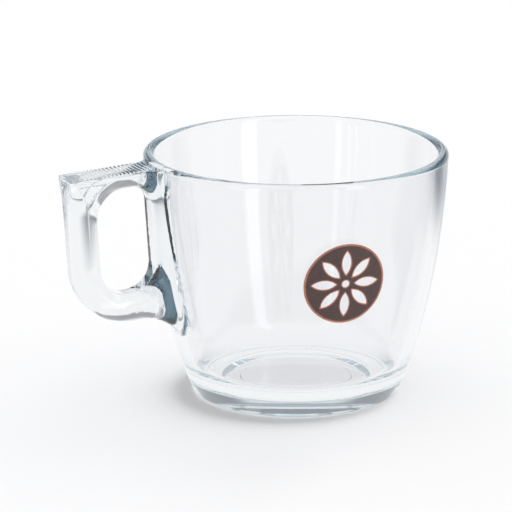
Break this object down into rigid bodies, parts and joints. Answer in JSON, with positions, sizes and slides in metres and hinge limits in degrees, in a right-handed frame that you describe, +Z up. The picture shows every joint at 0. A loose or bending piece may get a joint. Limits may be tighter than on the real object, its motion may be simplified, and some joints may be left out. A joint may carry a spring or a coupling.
{
  "type": "cortado glass",
  "caption": "Pressed clear glass coffee cup with a flared wall, a thick floor, a looped handle with a ribbed thumb rest, and a printed rosette on the wall.",
  "frame": {"origin": "centre of the resting ring, on the surface that the cup stands on", "axes": "+Z up along the bowl's axis, -X along the handle, -Y on the printed side"},
  "size_m": [0.1093, 0.084, 0.0685],
  "materials": {
    "clear_glass": "pressed and fire-polished soda-lime glass, glossy",
    "brown_enamel": "screen-printed glass enamel, fired, satin",
    "copper_enamel": "screen-printed glass enamel, fired, satin"
  },
  "bodies": {
    "root": {"bowl": "clear_glass", "handle": "clear_glass", "print_field": "brown_enamel", "print_outline": "copper_enamel"}
  },
  "joints": []
}
